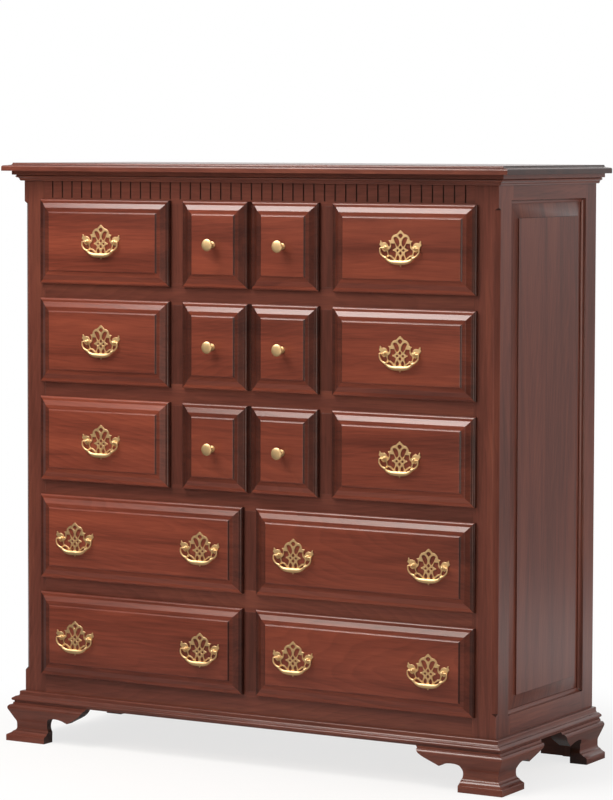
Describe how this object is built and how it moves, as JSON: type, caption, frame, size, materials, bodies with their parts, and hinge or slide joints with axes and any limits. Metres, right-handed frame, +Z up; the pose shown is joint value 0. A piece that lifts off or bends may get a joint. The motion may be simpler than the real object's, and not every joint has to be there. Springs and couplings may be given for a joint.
{
  "type": "chest of drawers",
  "caption": "Traditional block front chest of drawers on ogee bracket feet, with lipped drawers, pierced brass bail pulls and small knobs, and panelled sides.",
  "frame": {"origin": "on the floor, at the middle of the whole footprint including the knobs", "axes": "+Z up, drawers open towards -Y, +X to the right of someone facing the front"},
  "size_m": [1.231, 0.5024, 1.27],
  "materials": {
    "case_wood": "satin lacquered red-brown cherry",
    "drawer_wood": "satin lacquered red-brown cherry",
    "secondary_wood": "plain sanded secondary wood",
    "brass": "polished and lacquered cast brass"
  },
  "bodies": {
    "case": {"top_board": "case_wood", "cornice_moulding": "case_wood", "frieze_rail": "case_wood", "column_dividers": "case_wood", "drawer_rails": "case_wood", "bottom_rail": "case_wood", "web_frames": "secondary_wood", "back_panel": "secondary_wood", "bottom_board": "secondary_wood", "base_moulding": "case_wood", "left_front_post": "case_wood", "left_side_frame": "case_wood", "left_side_panel": "case_wood", "left_front_foot": "case_wood", "left_rear_foot": "case_wood", "right_front_post": "case_wood", "right_side_frame": "case_wood", "right_side_panel": "case_wood", "right_front_foot": "case_wood", "right_rear_foot": "case_wood"},
    "drawer_1_left": {"drawer_1_left": "drawer_wood", "pull_1_left": "brass"},
    "bail_1_left": {"bail_1_left": "brass"},
    "drawer_1_centre": {"drawer_1_centre": "drawer_wood", "knobs_1": "brass"},
    "drawer_1_right": {"drawer_1_right": "drawer_wood", "pull_1_right": "brass"},
    "bail_1_right": {"bail_1_right": "brass"},
    "drawer_2_left": {"drawer_2_left": "drawer_wood", "pull_2_left": "brass"},
    "bail_2_left": {"bail_2_left": "brass"},
    "drawer_2_centre": {"drawer_2_centre": "drawer_wood", "knobs_2": "brass"},
    "drawer_2_right": {"drawer_2_right": "drawer_wood", "pull_2_right": "brass"},
    "bail_2_right": {"bail_2_right": "brass"},
    "drawer_3_left": {"drawer_3_left": "drawer_wood", "pull_3_left": "brass"},
    "bail_3_left": {"bail_3_left": "brass"},
    "drawer_3_centre": {"drawer_3_centre": "drawer_wood", "knobs_3": "brass"},
    "drawer_3_right": {"drawer_3_right": "drawer_wood", "pull_3_right": "brass"},
    "bail_3_right": {"bail_3_right": "brass"},
    "drawer_4_left": {"drawer_4_left": "drawer_wood", "pulls_4_left": "brass"},
    "bail_4_left_a": {"bail_4_left_a": "brass"},
    "bail_4_left_b": {"bail_4_left_b": "brass"},
    "drawer_4_right": {"drawer_4_right": "drawer_wood", "pulls_4_right": "brass"},
    "bail_4_right_a": {"bail_4_right_a": "brass"},
    "bail_4_right_b": {"bail_4_right_b": "brass"},
    "drawer_5_left": {"drawer_5_left": "drawer_wood", "pulls_5_left": "brass"},
    "bail_5_left_a": {"bail_5_left_a": "brass"},
    "bail_5_left_b": {"bail_5_left_b": "brass"},
    "drawer_5_right": {"drawer_5_right": "drawer_wood", "pulls_5_right": "brass"},
    "bail_5_right_a": {"bail_5_right_a": "brass"},
    "bail_5_right_b": {"bail_5_right_b": "brass"}
  },
  "joints": [
    {"name": "drawer_1_left_slide", "type": "slide", "parent": "case", "child": "drawer_1_left", "axis": [0, -1, 0], "range_m": [0, 0.34]},
    {"name": "bail_1_left_swing", "type": "hinge", "parent": "drawer_1_left", "child": "bail_1_left", "pos_m": [-0.3659, -0.23355, 1.1015], "axis": [-1, 0, 0], "range_deg": [0, 150]},
    {"name": "drawer_1_centre_slide", "type": "slide", "parent": "case", "child": "drawer_1_centre", "axis": [0, -1, 0], "range_m": [0, 0.34]},
    {"name": "drawer_1_right_slide", "type": "slide", "parent": "case", "child": "drawer_1_right", "axis": [0, -1, 0], "range_m": [0, 0.34]},
    {"name": "bail_1_right_swing", "type": "hinge", "parent": "drawer_1_right", "child": "bail_1_right", "pos_m": [0.3659, -0.23355, 1.1015], "axis": [-1, 0, 0], "range_deg": [0, 150]},
    {"name": "drawer_2_left_slide", "type": "slide", "parent": "case", "child": "drawer_2_left", "axis": [0, -1, 0], "range_m": [0, 0.34]},
    {"name": "bail_2_left_swing", "type": "hinge", "parent": "drawer_2_left", "child": "bail_2_left", "pos_m": [-0.3659, -0.23355, 0.8859], "axis": [-1, 0, 0], "range_deg": [0, 150]},
    {"name": "drawer_2_centre_slide", "type": "slide", "parent": "case", "child": "drawer_2_centre", "axis": [0, -1, 0], "range_m": [0, 0.34]},
    {"name": "drawer_2_right_slide", "type": "slide", "parent": "case", "child": "drawer_2_right", "axis": [0, -1, 0], "range_m": [0, 0.34]},
    {"name": "bail_2_right_swing", "type": "hinge", "parent": "drawer_2_right", "child": "bail_2_right", "pos_m": [0.3659, -0.23355, 0.8859], "axis": [-1, 0, 0], "range_deg": [0, 150]},
    {"name": "drawer_3_left_slide", "type": "slide", "parent": "case", "child": "drawer_3_left", "axis": [0, -1, 0], "range_m": [0, 0.34]},
    {"name": "bail_3_left_swing", "type": "hinge", "parent": "drawer_3_left", "child": "bail_3_left", "pos_m": [-0.3659, -0.23355, 0.6703], "axis": [-1, 0, 0], "range_deg": [0, 150]},
    {"name": "drawer_3_centre_slide", "type": "slide", "parent": "case", "child": "drawer_3_centre", "axis": [0, -1, 0], "range_m": [0, 0.34]},
    {"name": "drawer_3_right_slide", "type": "slide", "parent": "case", "child": "drawer_3_right", "axis": [0, -1, 0], "range_m": [0, 0.34]},
    {"name": "bail_3_right_swing", "type": "hinge", "parent": "drawer_3_right", "child": "bail_3_right", "pos_m": [0.3659, -0.23355, 0.6703], "axis": [-1, 0, 0], "range_deg": [0, 150]},
    {"name": "drawer_4_left_slide", "type": "slide", "parent": "case", "child": "drawer_4_left", "axis": [0, -1, 0], "range_m": [0, 0.34]},
    {"name": "bail_4_left_a_swing", "type": "hinge", "parent": "drawer_4_left", "child": "bail_4_left_a", "pos_m": [-0.4341, -0.23355, 0.4547], "axis": [-1, 0, 0], "range_deg": [0, 150]},
    {"name": "bail_4_left_b_swing", "type": "hinge", "parent": "drawer_4_left", "child": "bail_4_left_b", "pos_m": [-0.11475, -0.23355, 0.4547], "axis": [-1, 0, 0], "range_deg": [0, 150]},
    {"name": "drawer_4_right_slide", "type": "slide", "parent": "case", "child": "drawer_4_right", "axis": [0, -1, 0], "range_m": [0, 0.34]},
    {"name": "bail_4_right_a_swing", "type": "hinge", "parent": "drawer_4_right", "child": "bail_4_right_a", "pos_m": [0.11475, -0.23355, 0.4547], "axis": [-1, 0, 0], "range_deg": [0, 150]},
    {"name": "bail_4_right_b_swing", "type": "hinge", "parent": "drawer_4_right", "child": "bail_4_right_b", "pos_m": [0.4341, -0.23355, 0.4547], "axis": [-1, 0, 0], "range_deg": [0, 150]},
    {"name": "drawer_5_left_slide", "type": "slide", "parent": "case", "child": "drawer_5_left", "axis": [0, -1, 0], "range_m": [0, 0.34]},
    {"name": "bail_5_left_a_swing", "type": "hinge", "parent": "drawer_5_left", "child": "bail_5_left_a", "pos_m": [-0.4341, -0.23355, 0.2391], "axis": [-1, 0, 0], "range_deg": [0, 150]},
    {"name": "bail_5_left_b_swing", "type": "hinge", "parent": "drawer_5_left", "child": "bail_5_left_b", "pos_m": [-0.11475, -0.23355, 0.2391], "axis": [-1, 0, 0], "range_deg": [0, 150]},
    {"name": "drawer_5_right_slide", "type": "slide", "parent": "case", "child": "drawer_5_right", "axis": [0, -1, 0], "range_m": [0, 0.34]},
    {"name": "bail_5_right_a_swing", "type": "hinge", "parent": "drawer_5_right", "child": "bail_5_right_a", "pos_m": [0.11475, -0.23355, 0.2391], "axis": [-1, 0, 0], "range_deg": [0, 150]},
    {"name": "bail_5_right_b_swing", "type": "hinge", "parent": "drawer_5_right", "child": "bail_5_right_b", "pos_m": [0.4341, -0.23355, 0.2391], "axis": [-1, 0, 0], "range_deg": [0, 150]}
  ]
}
